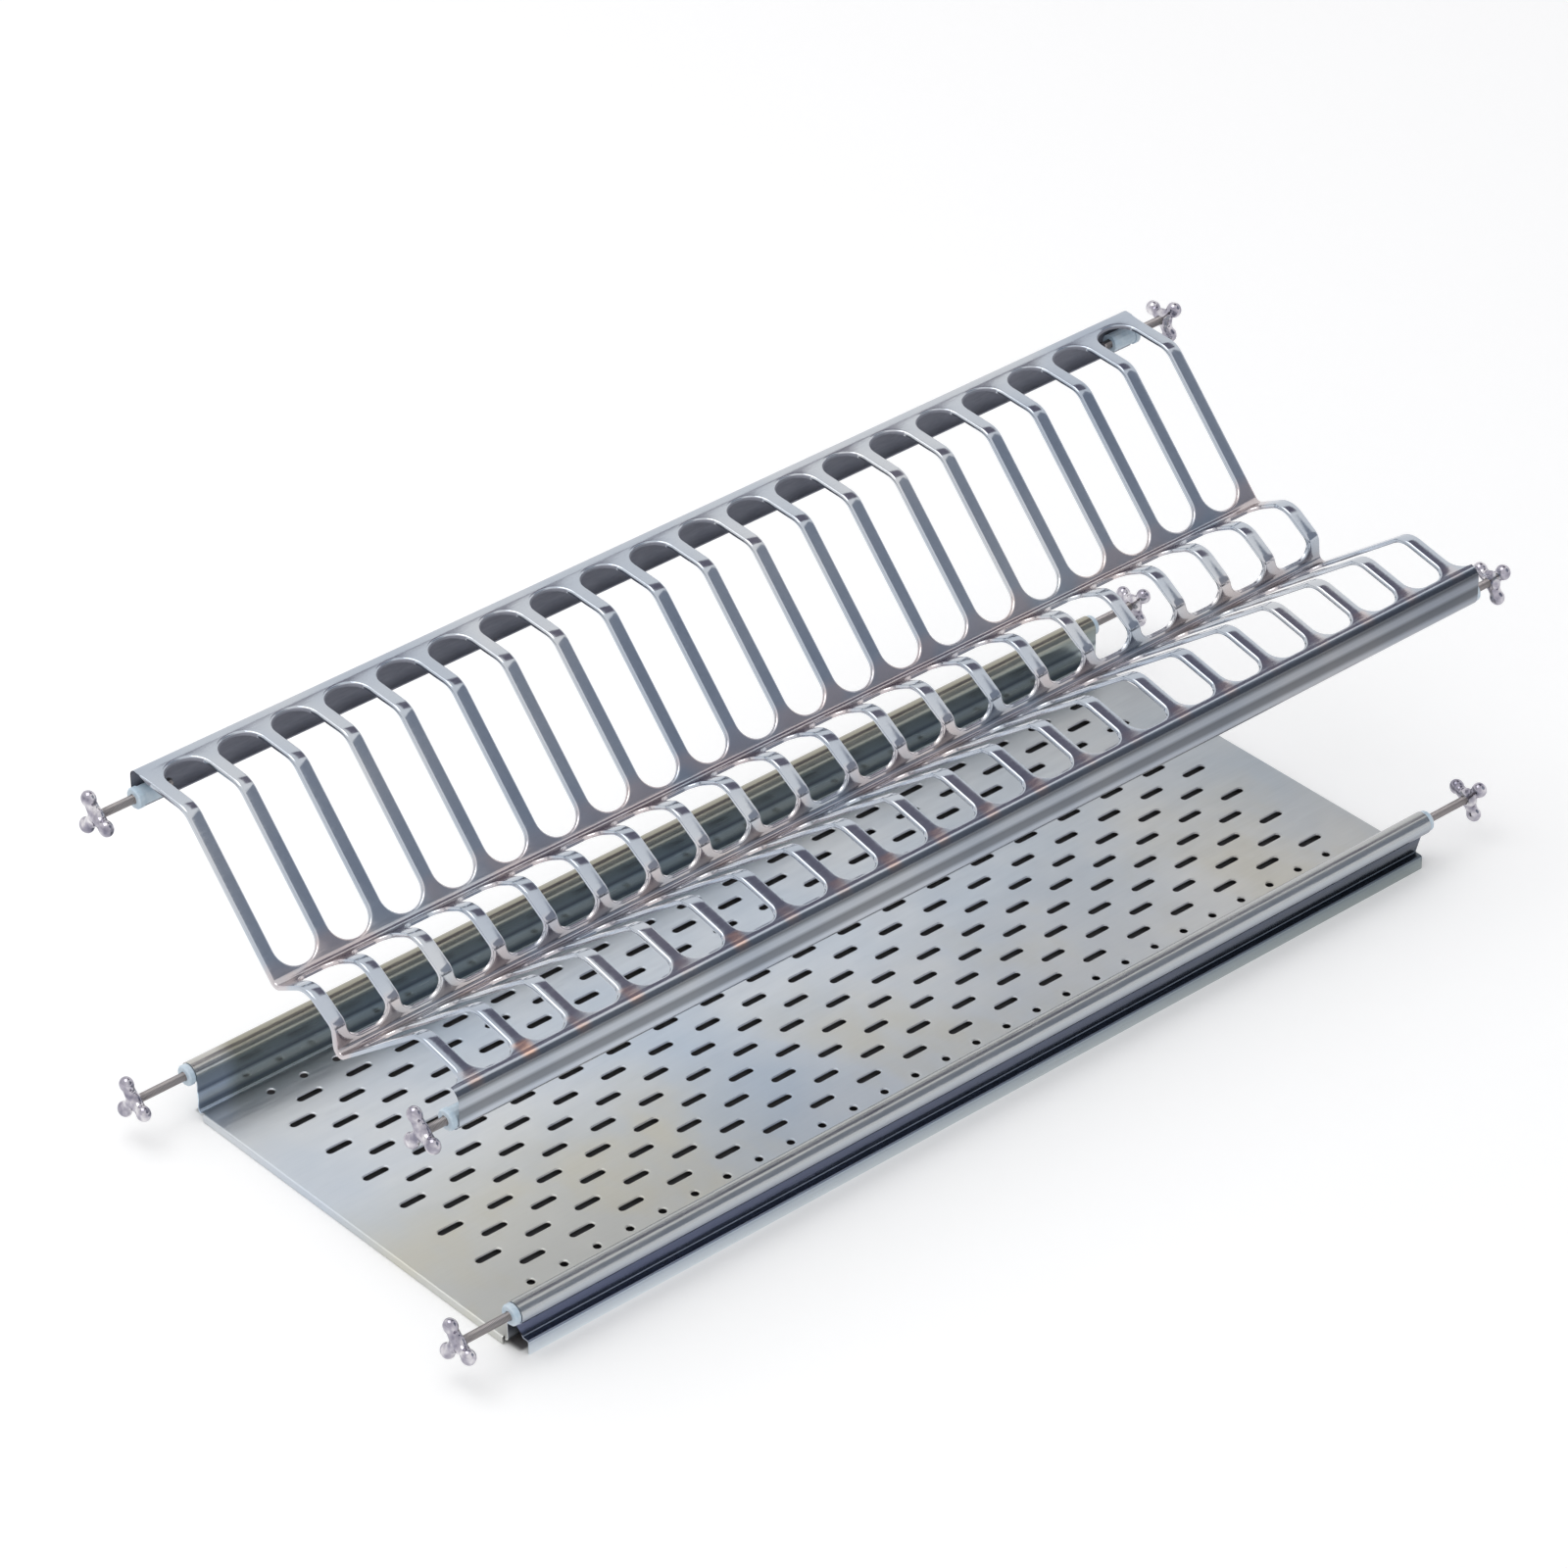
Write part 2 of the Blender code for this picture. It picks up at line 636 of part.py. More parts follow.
def main():
    for old in list(bpy.data.objects):
        bpy.data.objects.remove(old)
    surfaces = {
        "rack": material("rack_steel", (0.62, 0.63, 0.67), 0.18, 1.0),
        "tray": material("tray_steel", (0.60, 0.62, 0.64), 0.38, 1.0),
        "plug": material("plug_plastic", (0.72, 0.80, 0.88), 0.4, 0.0),
        "rod": material("rod_steel", (0.50, 0.50, 0.52), 0.3, 1.0),
        "star": material("star_zinc", (0.58, 0.57, 0.60), 0.28, 1.0),
    }
    add_object("plate_rack", rack_mesh(), surfaces["rack"])
    thicken(add_object("drip_tray", tray_mesh(), surfaces["tray"]))
    STAR["mesh"] = star_mesh()
    rack_rods = [
        ("rear", SLATS_HALF, RACK_ROD_SPAN / 2, TRAY_HEIGHT + REAR_ROD_HEIGHT),
        ("front", RACK_FRONT_HALF, -RACK_ROD_SPAN / 2, TRAY_HEIGHT + FRONT_ROD_HEIGHT),
    ]
    tray_rods = [
        ("rear", TRAY_HALF, TRAY_ROD_SPAN / 2, TRAY_HEIGHT + TRAY_ROD_HEIGHT),
        ("front", TRAY_HALF, -TRAY_ROD_SPAN / 2, TRAY_HEIGHT + TRAY_ROD_HEIGHT),
    ]
    rack_barrel = (HEM_RADIUS - SHEET) * math.cos(HEM_WRAP / HEM_STEPS / 2) - CLEARANCE
    roll_facet = math.pi * 3 / 2 / ROLL_STEPS
    tray_barrel = (TRAY_ROLL_RADIUS - SHEET / 2) * math.cos(roll_facet / 2) - CLEARANCE
    rack_inner = SLATS_HALF - RACK_ROD_INSERT
    tray_inner = TRAY_HALF - TRAY_ROD_INSERT
    add_feet("rack", rack_rods, RACK_FOOT_REACH, rack_inner, rack_barrel, surfaces)
    add_feet("tray", tray_rods, TRAY_FOOT_REACH, tray_inner, tray_barrel, surfaces)


main()
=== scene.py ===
"""Looks for the cabinet dish drainer: pressed mirror rack, satin drip tray, star feet, studio and camera."""
import json
import math

import bmesh
import bpy
from mathutils import Euler, Matrix, Vector

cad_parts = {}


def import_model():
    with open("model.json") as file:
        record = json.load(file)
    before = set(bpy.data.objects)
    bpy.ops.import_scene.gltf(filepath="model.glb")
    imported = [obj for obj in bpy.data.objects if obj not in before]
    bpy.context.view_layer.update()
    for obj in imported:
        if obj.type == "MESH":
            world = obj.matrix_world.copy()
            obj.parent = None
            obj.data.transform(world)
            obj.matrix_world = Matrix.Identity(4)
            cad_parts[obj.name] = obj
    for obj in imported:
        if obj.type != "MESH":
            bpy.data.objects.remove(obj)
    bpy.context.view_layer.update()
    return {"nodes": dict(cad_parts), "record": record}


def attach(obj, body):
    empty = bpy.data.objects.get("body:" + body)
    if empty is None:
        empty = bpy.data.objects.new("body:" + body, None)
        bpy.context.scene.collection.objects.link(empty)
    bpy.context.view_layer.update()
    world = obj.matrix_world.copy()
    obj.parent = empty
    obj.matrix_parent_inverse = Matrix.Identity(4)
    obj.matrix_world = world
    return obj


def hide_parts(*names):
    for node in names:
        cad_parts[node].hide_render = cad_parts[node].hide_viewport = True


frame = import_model()
BODY_OF = {node: body for body, nodes in frame["record"]["behaviour"]["bodies"].items() for node in nodes}

# Sizes that repeat the part's own
LIFT = 0.0045
SHEET = 0.0008
SLATS = 21
PITCH = 0.0345
SLAT = 0.009
HALF_WINDOW = (PITCH - SLAT) / 2
SLATS_HALF = (SLATS - 1) / 2 * PITCH + SLAT / 2
FRONT_OVERHANG = 0.009
FRONT_HALF = SLATS_HALF + FRONT_OVERHANG
LIP_REACH = 0.0014
LIP_DEPTH = 0.0022
RACK_REACH = 0.382
TRAY_REACH = 0.369

# The rack's section: rods, hems and corners as (y, z), each corner with its radius
ROD_Y = 0.2609 / 2
REAR_ROD_Z = 0.2115
FRONT_ROD_Z = 0.1580
HEM = 0.0066
HEM_WRAP = math.radians(100)
REAR_EDGE, REAR_EDGE_RADIUS = Vector((ROD_Y + HEM, 0.2257)), 0.004
SHOULDER, SHOULDER_RADIUS = Vector((0.091, 0.2232)), 0.014
SEAT, SEAT_RADIUS = Vector((0.0225, 0.1500)), 0.004
HUMP, HUMP_RADIUS = Vector((-0.003, 0.1640)), 0.016
BROW, BROW_RADIUS = Vector((-0.0255, 0.1500)), 0.008
SILL, SILL_RADIUS = Vector((-0.0270, 0.1330)), 0.003
CREST, CREST_RADIUS = Vector((-0.094, 0.1845)), 0.016
FRONT_EDGE, FRONT_EDGE_RADIUS = Vector((-ROD_Y - HEM, 0.1754)), 0.007
HEM_STEPS = 12
BEND_STEPS = 7

# The rack's windows: strips left between the rows, corner radii and steps
REAR_STRIP = 0.0085
SEAT_RAIL = 0.0040
HUMP_RAIL = 0.0045
SILL_RAIL = 0.0040
FRONT_STRIP = 0.0065
LONG_WINDOW_RADIUS = 0.0120
HUMP_WINDOW_RADIUS = 0.0080
FRONT_WINDOW_RADIUS = 0.0090
CORNERS = 9
LIP_RINGS = 5
STATION_GAP = 1e-4
FULL_TURN = 0.99
LEAST_LIP = 0.02
RACK_SHARP = 40

# The tray
TRAY_ROD_Y = 0.2700 / 2
TRAY_ROD_Z = 0.0218
TRAY_HALF = 0.3270
TRAY_ROLL = 0.0062
TRAY_REAR_WRAP = math.radians(255)
TRAY_FRONT_WRAP = math.radians(270)
TRAY_BEND = 0.002
TRAY_SIDE = 0.0015
TRAY_TURN = 0.0042
DRIP_HALF = 0.3225
DRIP_TOP = 0.0038
DRIP_REACH = 0.0050
DRIP_RADIUS = 0.0012
REAR_ROLL_STEPS = 30
FRONT_ROLL_STEPS = 32
TRAY_BEND_STEPS = 9
TRAY_SIDE_STEPS = 5
TRAY_SHARP = 11

# The tray's drain slots and holes
SLOT_PITCH = 0.0332
SLOT_ROWS = 13
SLOT_COLUMNS = 18
SLOT_REACH = 0.0060
SLOT_RADIUS = 0.00225
SLOT_STEPS = 7
STAGGER_SHARE = 0.25
ROW_PITCH = 0.0155
ROWS_Y = 0.0088
HOLE_COLUMNS = 27
HOLE_PITCH = SLOT_PITCH * 2 / 3
HOLE_RADIUS = 0.0025
HOLE_STEPS = 6
RIM = 0.0006
RIM_DEPTH = 0.0008
RIM_STEPS = 3

# The star feet, along x from the outer face inward
STAR_THICK = 0.0080
STAR_ARM = 0.0103
STAR_BALL = 0.0046
STAR_HUB_X = -0.0056
STAR_HUB = 0.0062
STAR_HUB_SQUASH = 0.60
ARM_ROOT = 0.0038
ARM_TIP = 0.0032
BORE = 0.00275
BORE_LENGTH = 0.0126
BORE_PAST = 0.0010
CAST_GRAIN = 0.0005
CAST_SOFTNESS = 0.5
CAST_PASSES = 8
ROUND_STEPS = 24
BALL_RINGS = 16
STAR_SHARP = 50
LEFT_TURN = -20
RIGHT_TURN = 40

# Places on the object where a finish, a painted reflection or a painted shade starts or ends; SHADE_X and
# SHADE_Y place the painted shadow on the floor under the tray
FAR = 1.0
SEAT_Y = (0.014, 0.030)
SILL_Y = (-0.036, -0.026)
RAIL_FEET_Y = (-0.1345, -0.1265)
RAIL_FACE_Y = -0.1345
RAIL_TOP_Z = 0.185
REAR_WALL_Y = (0.1200, 0.1365)
REAR_WALL_Z = LIFT + 0.2242
TRAY_REAR_Y = 0.1275
TRAY_FRONT_Y = -0.1295
TRAY_FRONT_SMOOTH_Y = -0.1285
TRAY_RAIL_Z = LIFT + 0.03
COVERED_X = -0.30
DRAIN_X = (-0.322, 0.322)
DRAIN_Y = (-0.1275, 0.1335)
UNDER_FLOOR_Z = LIFT - 0.0002
SHADE_X = DRAIN_X
SHADE_Y = (-0.134, 0.1355)
THREAD = 0.0008

# The camera and the studio
CAMERA_PLACE = (-1.9432, -2.1930, 2.1148 + LIFT)
CAMERA_HEADING = -41.15
CAMERA_DOWN = 34.15
CAMERA_ROLL = -0.35
SENSOR = 36.0
LENS = 152.37
FLOOR_SIDE = 12.0
FLOOR_GLOW = 0.30
SURROUND_LIGHT = 0.75
SURROUND_SEEN = 1.0


# Materials
def nodes_of(name):
    made = bpy.data.materials.new(name)
    made.use_nodes = True
    tree = made.node_tree
    return made, tree, tree.nodes["Principled BSDF"]


def link(tree, a, b):
    tree.links.new(a, b)


def noise(tree, scale, detail=4.0, roughness=0.55, stretch=(1, 1, 1), seed=0.0):
    coord = tree.nodes.new("ShaderNodeTexCoord")
    mapping = tree.nodes.new("ShaderNodeMapping")
    mapping.inputs["Scale"].default_value = stretch
    mapping.inputs["Location"].default_value = (seed, seed * 0.7, seed * 1.3)
    made = tree.nodes.new("ShaderNodeTexNoise")
    made.inputs["Scale"].default_value = scale
    made.inputs["Detail"].default_value = detail
    made.inputs["Roughness"].default_value = roughness
    link(tree, coord.outputs["Object"], mapping.inputs["Vector"])
    link(tree, mapping.outputs["Vector"], made.inputs["Vector"])
    return made.outputs["Fac"]


def ramp(tree, value, stops):
    made = tree.nodes.new("ShaderNodeValToRGB")
    elements = made.color_ramp.elements
    while len(elements) < len(stops):
        elements.new(0.5)
    for element, (place, colour) in zip(elements, stops):
        element.position = place
        if isinstance(colour, (int, float)):
            colour = (colour, colour, colour)
        element.color = (*colour, 1)
    link(tree, value, made.inputs["Fac"])
    return made.outputs["Color"]


def mixed(tree, factor, a, b, blend="MIX"):
    made = tree.nodes.new("ShaderNodeMix")
    made.data_type = "RGBA"
    made.blend_type = blend
    colour_in = [s for s in made.inputs if s.type == "RGBA"]
    for socket, value in ((made.inputs[0], factor), (colour_in[0], a), (colour_in[1], b)):
        if hasattr(value, "is_output"):
            link(tree, value, socket)
        elif isinstance(value, (int, float)):
            socket.default_value = value
        else:
            socket.default_value = (*value, 1)
    return [s for s in made.outputs if s.type == "RGBA"][0]


def math_node(tree, operation, a, b=None, clamp=False):
    made = tree.nodes.new("ShaderNodeMath")
    made.operation = operation
    made.use_clamp = clamp
    for socket, value in zip(made.inputs, (a, b)):
        if value is None:
            continue
        if hasattr(value, "is_output"):
            link(tree, value, socket)
        else:
            socket.default_value = value
    return made.outputs[0]


def product(tree, a, b):
    return math_node(tree, "MULTIPLY", a, b)


def total(tree, a, b):
    """The sum of two shares, at most one."""
    return math_node(tree, "ADD", a, b, True)


def axis_value(tree, axis):
    coord = tree.nodes.new("ShaderNodeTexCoord")
    split = tree.nodes.new("ShaderNodeSeparateXYZ")
    link(tree, coord.outputs["Object"], split.inputs[0])
    return split.outputs[axis]


def mapped(tree, value, low, high, to_low=0.0, to_high=1.0):
    made = tree.nodes.new("ShaderNodeMapRange")
    made.inputs["From Min"].default_value = low
    made.inputs["From Max"].default_value = high
    made.inputs["To Min"].default_value = to_low
    made.inputs["To Max"].default_value = to_high
    link(tree, value, made.inputs["Value"])
    return made.outputs[0]


def bumped(tree, shader, height, strength, distance):
    bump = tree.nodes.new("ShaderNodeBump")
    bump.inputs["Strength"].default_value = strength
    bump.inputs["Distance"].default_value = distance
    link(tree, height, bump.inputs["Height"])
    link(tree, bump.outputs["Normal"], shader.inputs["Normal"])


def painted_hollow_shade(tree, distance, stops, alone=True):
    """Painted shade: a grey that falls off in corners and hollows; alone counts only those of the object
    itself.
    """
    made = tree.nodes.new("ShaderNodeAmbientOcclusion")
    made.samples = 2
    made.only_local = alone
    made.inputs["Distance"].default_value = distance
    return ramp(tree, made.outputs["AO"], stops)


def multiplied(tree, a, b):
    return mixed(tree, 1.0, a, b, "MULTIPLY")


def band(tree, value, low, high, soft):
    """One between low and high, falling off over the soft length outside them."""
    rise = mapped(tree, value, low - soft, low)
    fall = mapped(tree, value, high, high + soft, 1.0, 0.0)
    return product(tree, rise, fall)


def height_tones(tree, base, top, tones):
    """Colours up a rail's face, between the heights base and top; each tone's height is above LIFT."""
    share = mapped(tree, axis_value(tree, 2), base, top)
    return ramp(tree, share, [((z + LIFT - base) / (top - base), colour) for z, colour in tones])


def heat_tint(tree, x, y):
    """Share of brown tint: faint along seat and sill, strong at the slat feet of the front rail."""
    whole_pitches = 50
    above_zero = math_node(tree, "ADD", x, PITCH * whole_pitches)
    slat = math_node(tree, "PINGPONG", above_zero, PITCH / 2)
    foot = band(tree, slat, -FAR, 0.002, 0.004)
    seat = product(tree, band(tree, y, *SEAT_Y, 0.005), 0.30)
    sill = product(tree, band(tree, y, *SILL_Y, 0.005), 0.25)
    rail = product(tree, band(tree, y, *RAIL_FEET_Y, 0.002), foot)
    rail = product(tree, rail, mapped(tree, x, -0.30, 0.10, 0.95, 0.30))
    patches = ramp(tree, noise(tree, 26.0, 2.0, 0.5, seed=8.0), [(0.36, 0.0), (0.54, 0.9)])
    return product(tree, total(tree, total(tree, seat, sill), rail), patches)


def with_painted_rail_reflections(tree, x, y, tone):
    """The tone with painted reflections on the front rail's face: light and dark bands by height, dimmer to
    the right.
    """
    tones = [
        (0.158, 0.95), (0.1605, 0.42), (0.1645, 0.36), (0.1670, 0.85),
        (0.1700, 0.80), (0.1725, 0.32), (0.1760, 0.55),
    ]
    face = band(tree, y, -FAR, RAIL_FACE_Y, 0.001)
    bands = height_tones(tree, FRONT_ROD_Z - HEM, RAIL_TOP_Z, tones)
    tone = mixed(tree, face, tone, multiplied(tree, tone, bands))
    dimming = ramp(tree, mapped(tree, x, -0.20, 0.34), [(0.0, (1.0, 1.0, 1.0)), (1.0, (0.62, 0.62, 0.64))])
    return mixed(tree, face, tone, multiplied(tree, tone, dimming))


def rack_steel():
    made, tree, shader = nodes_of("rack_steel_look")
    shader.inputs["Metallic"].default_value = 1.0
    x, y, z = axis_value(tree, 0), axis_value(tree, 1), axis_value(tree, 2)
    cloud = noise(tree, 9.0, 3.0, 0.5, seed=3.1)
    tones = [(0.30, (0.40, 0.45, 0.53)), (0.50, (0.50, 0.54, 0.60)), (0.72, (0.63, 0.64, 0.66))]
    tone = mixed(tree, heat_tint(tree, x, y), ramp(tree, cloud, tones), (0.95, 0.62, 0.48))
    # Painted reflections: light and dark bands on the front rail's face.
    tone = with_painted_rail_reflections(tree, x, y, tone)
    # Painted shade: the rack's colour is darker in its corners and hollows.
    tone = multiplied(tree, tone, painted_hollow_shade(tree, 0.016, [(0.25, 0.30), (0.80, 1.0)]))
    # Painted shade: the inside of the rear wall and its hem is coloured dark grey and made rougher.
    wall = product(tree, band(tree, y, *REAR_WALL_Y, 0.0002), band(tree, z, -FAR, REAR_WALL_Z, 0.0004))
    link(tree, mixed(tree, wall, tone, (0.33, 0.34, 0.39)), shader.inputs["Base Color"])
    fine = noise(tree, 900.0, 2.0, 0.6, (0.15, 1, 1), 1.7)
    rough = total(tree, mapped(tree, fine, 0.3, 0.7, 0.10, 0.20), product(tree, wall, 0.6))
    link(tree, rough, shader.inputs["Roughness"])
    bumped(tree, shader, noise(tree, 14.0, 2.0, 0.4, seed=5.3), 0.25, 0.004)
    return made


def tray_floor_tone(tree, x, y):
    """Bluish steel with beige stains towards the front, dimmer and warmer to the right."""
    cloud = noise(tree, 6.0, 4.0, 0.55, seed=2.2)
    tones = [(0.30, (0.50, 0.57, 0.66)), (0.50, (0.60, 0.64, 0.69)), (0.70, (0.70, 0.71, 0.71))]
    patches = ramp(tree, noise(tree, 10.0, 4.0, 0.6, (1, 0.6, 1), 7.7), [(0.48, 0.0), (0.66, 0.75)])
    front_left = product(tree, band(tree, x, -0.34, -0.19, 0.10), 0.7)
    stain = product(tree, band(tree, y, -0.14, -0.04, 0.06), total(tree, patches, front_left))
    tone = mixed(tree, stain, ramp(tree, cloud, tones), (0.62, 0.61, 0.55))
    dimming = ramp(tree, mapped(tree, x, 0.02, 0.33), [(0.0, (1.0, 1.0, 1.0)), (1.0, (0.74, 0.72, 0.69))])
    return multiplied(tree, tone, dimming)


def tray_rear_reflections_and_shadow(tree, x):
    """Painted reflections on the rear wall and roll, as bands by height, and a painted shadow that dulls them
    where the rack stands over them.
    """
    tones = [
        (0.0005, (0.62, 0.72, 0.84)), (0.0040, (0.35, 0.43, 0.55)), (0.0075, (0.85, 0.94, 1.0)),
        (0.0115, (0.75, 0.86, 0.98)), (0.0138, (0.22, 0.26, 0.34)), (0.0165, (0.42, 0.49, 0.57)),
        (0.0230, (0.36, 0.41, 0.45)), (0.0275, (0.54, 0.53, 0.50)),
    ]
    tone = height_tones(tree, 0.0, TRAY_RAIL_Z, tones)
    rack_shadow = band(tree, x, COVERED_X, FAR, 0.01)
    return mixed(tree, rack_shadow, tone, multiplied(tree, tone, (0.66, 0.65, 0.57)))


def tray_front_reflections_and_shade(tree, x):
    """Painted reflections and shade on the drip lip, front wall and roll by height, a lighter band on the
    roll and shade in the recess under it; greyer towards the right.
    """
    tones = [
        (-0.0040, (0.85, 0.90, 0.94)), (0.0010, (0.66, 0.72, 0.78)), (0.0040, (0.36, 0.40, 0.48)),
        (0.0080, (0.14, 0.16, 0.25)), (0.0150, (0.14, 0.16, 0.25)), (0.0185, (0.27, 0.30, 0.38)),
        (0.0220, (0.46, 0.49, 0.53)), (0.0270, (0.45, 0.46, 0.46)),
    ]
    right_tones = [
        (0.0060, (0.46, 0.48, 0.46)), (0.0085, (1.20, 1.15, 0.85)),
        (0.0160, (1.00, 0.98, 0.88)), (0.0220, (1.0, 1.0, 1.0)),
    ]
    tone = height_tones(tree, 0.0, TRAY_RAIL_Z, tones)
    tint = height_tones(tree, 0.0, TRAY_RAIL_Z, right_tones)
    return mixed(tree, mapped(tree, x, -0.25, 0.30), tone, multiplied(tree, tone, tint))


def tray_steel():
    made, tree, shader = nodes_of("tray_steel_look")
    shader.inputs["Metallic"].default_value = 1.0
    x, y, z = axis_value(tree, 0), axis_value(tree, 1), axis_value(tree, 2)
    rear = band(tree, y, TRAY_REAR_Y, FAR, 0.001)
    # Painted reflections and a painted shadow on the tray's rear wall and roll.
    tone = mixed(tree, rear, tray_floor_tone(tree, x, y), tray_rear_reflections_and_shadow(tree, x))
    # Painted reflections and shade on the tray's front roll, wall and drip lip.
    tone = mixed(tree, band(tree, y, -FAR, TRAY_FRONT_Y, 0.001), tone, tray_front_reflections_and_shade(tree, x))
    drains = product(tree, band(tree, x, *DRAIN_X, 0.001), band(tree, y, *DRAIN_Y, 0.0005))
    # Painted shade: the rims of the drain slots and holes, below the floor sheet, are coloured dark.
    rims = product(tree, band(tree, z, -FAR, UNDER_FLOOR_Z, 0.0001), drains)
    tone = mixed(tree, rims, tone, (0.20, 0.19, 0.20))
    # Painted shade: the tray's colour is darker in its corners and hollows, such as the wall bases.
    tone = multiplied(tree, tone, painted_hollow_shade(tree, 0.014, [(0.25, 0.12), (0.80, 1.0)]))
    link(tree, tone, shader.inputs["Base Color"])
    grain = noise(tree, 700.0, 2.0, 0.6, (0.06, 1, 1), 0.4)
    rails = total(tree, rear, band(tree, y, -FAR, TRAY_FRONT_SMOOTH_Y, 0.001))
    rough = mapped(tree, grain, 0.3, 0.7, 0.28, 0.42)
    rough = math_node(tree, "SUBTRACT", rough, product(tree, rails, 0.14))
    link(tree, rough, shader.inputs["Roughness"])
    bumped(tree, shader, grain, 0.06, 0.0004)
    return made


def plug_plastic():
    made, tree, shader = nodes_of("plug_plastic_look")
    cloud = noise(tree, 160.0, 3.0, 0.5, seed=6.0)
    tone = ramp(tree, cloud, [(0.3, (0.52, 0.66, 0.78)), (0.7, (0.72, 0.82, 0.90))])
    link(tree, tone, shader.inputs["Base Color"])
    shader.inputs["Roughness"].default_value = 0.38
    bumped(tree, shader, cloud, 0.08, 0.0004)
    return made


def rod_steel():
    made, tree, shader = nodes_of("rod_steel_look")
    shader.inputs["Metallic"].default_value = 1.0
    thread = math_node(tree, "FRACT", math_node(tree, "DIVIDE", axis_value(tree, 0), THREAD))
    ridge = math_node(tree, "PINGPONG", thread, 0.5)
    tones = [(0.0, (0.16, 0.15, 0.15)), (0.6, (0.40, 0.37, 0.37))]
    link(tree, ramp(tree, product(tree, ridge, 2.0), tones), shader.inputs["Base Color"])
    shader.inputs["Roughness"].default_value = 0.32
    bumped(tree, shader, ridge, 1.0, 0.0005)
    return made


def star_zinc():
    made, tree, shader = nodes_of("star_zinc_look")
    shader.inputs["Metallic"].default_value = 1.0
    cloud = noise(tree, 170.0, 2.0, 0.5, seed=4.4)
    tones = [(0.3, (0.22, 0.21, 0.27)), (0.5, (0.42, 0.40, 0.46)), (0.7, (0.78, 0.76, 0.78))]
    # Painted shade: the star foot's colour is darker in its hollows, between hub and arms.
    tone = multiplied(tree, ramp(tree, cloud, tones), painted_hollow_shade(tree, 0.006, [(0.35, 0.35), (0.9, 1.0)]))
    link(tree, tone, shader.inputs["Base Color"])
    shader.inputs["Roughness"].default_value = 0.09
    bumped(tree, shader, cloud, 0.10, 0.0004)
    return made


SURFACE = {
    "rack_steel": rack_steel(),
    "tray_steel": tray_steel(),
    "plug_plastic": plug_plastic(),
    "rod_steel": rod_steel(),
    "star_zinc": star_zinc(),
}


def dress(node, surface):
    made = frame["nodes"][node]
    made.data.materials.clear()
    made.data.materials.append(surface)


for entry in frame["record"]["subparts"]:
    dress(entry["node"], SURFACE[entry["material_slot"]])


# Sheet metal
def arc(centre, radius, start, sweep, steps):
    angles = [start + sweep * step / steps for step in range(steps + 1)]
    return [centre + radius * Vector((math.cos(a), math.sin(a))) for a in angles]


def rounded(corners, steps):
    """Points along corners (place, radius), each inner corner replaced by an arc of its radius."""
    points = [corners[0][0]]
    for index in range(1, len(corners) - 1):
        place, radius = corners[index]
        back = (corners[index - 1][0] - place).normalized()
        ahead = (corners[index + 1][0] - place).normalized()
        half = back.angle(ahead) / 2
        centre = place + (back + ahead).normalized() * radius / math.sin(half)
        first = place + back * radius / math.tan(half) - centre
        sweep = first.angle_signed(place + ahead * radius / math.tan(half) - centre)
        for step in range(steps + 1):
            points.append(centre + Matrix.Rotation(-sweep * step / steps, 2) @ first)
    points.append(corners[-1][0])
    return points


class Path:
    """A section line, asked for a place and an outward normal at a length along it."""

    def __init__(self, points):
        same = 1e-6
        self.points = [p for i, p in enumerate(points) if i == 0 or (p - points[i - 1]).length > same]
        self.lengths = [0.0]
        for before, after in zip(self.points, self.points[1:]):
            self.lengths.append(self.lengths[-1] + (after - before).length)

    def segment(self, length):
        for index in range(len(self.points) - 2):
            if length < self.lengths[index + 1]:
                return index
        return len(self.points) - 2

    def frame_at(self, length):
        index = self.segment(length)
        share = (length - self.lengths[index]) / (self.lengths[index + 1] - self.lengths[index])

        def side(i):
            i = min(max(i, 0), len(self.points) - 2)
            along = (self.points[i + 1] - self.points[i]).normalized()
            return Vector((along.y, -along.x))

        start = (side(index - 1) + side(index)).normalized()
        end = (side(index) + side(index + 1)).normalized()
        return self.points[index].lerp(self.points[index + 1], share), start.lerp(end, share).normalized()

    def nearest_length(self, place):
        best = (math.inf, 0.0)
        for index in range(len(self.points) - 1):
            start = self.points[index]
            run = self.points[index + 1] - start
            share = min(max((place - start).dot(run) / run.length_squared, 0), 1)
            gap = (start + run * share - place).length
            best = min(best, (gap, self.lengths[index] + run.length * share))
        return best[1]


def rack_path():
    """The rack's section from its rear hem over the slats to its front hem, and its marked corners."""
    lift = Vector((0, LIFT))
    hem_in = arc(Vector((ROD_Y, REAR_ROD_Z)) + lift, HEM, -HEM_WRAP, HEM_WRAP, HEM_STEPS)
    hem_out = arc(Vector((-ROD_Y, FRONT_ROD_Z)) + lift, HEM, math.pi, HEM_WRAP, HEM_STEPS)
    corners = [
        (hem_in[-1], 0),
        (REAR_EDGE + lift, REAR_EDGE_RADIUS),
        (SHOULDER + lift, SHOULDER_RADIUS),
        (SEAT + lift, SEAT_RADIUS),
        (HUMP + lift, HUMP_RADIUS),
        (BROW + lift, BROW_RADIUS),
        (SILL + lift, SILL_RADIUS),
        (CREST + lift, CREST_RADIUS),
        (FRONT_EDGE + lift, FRONT_EDGE_RADIUS),
        (hem_out[0], 0),
    ]
    path = Path(hem_in[:-1] + rounded(corners, BEND_STEPS) + hem_out[1:])
    marks = {"rear": REAR_EDGE, "seat": SEAT, "sill": SILL, "front": FRONT_EDGE}
    return path, {name: place + lift for name, place in marks.items()}


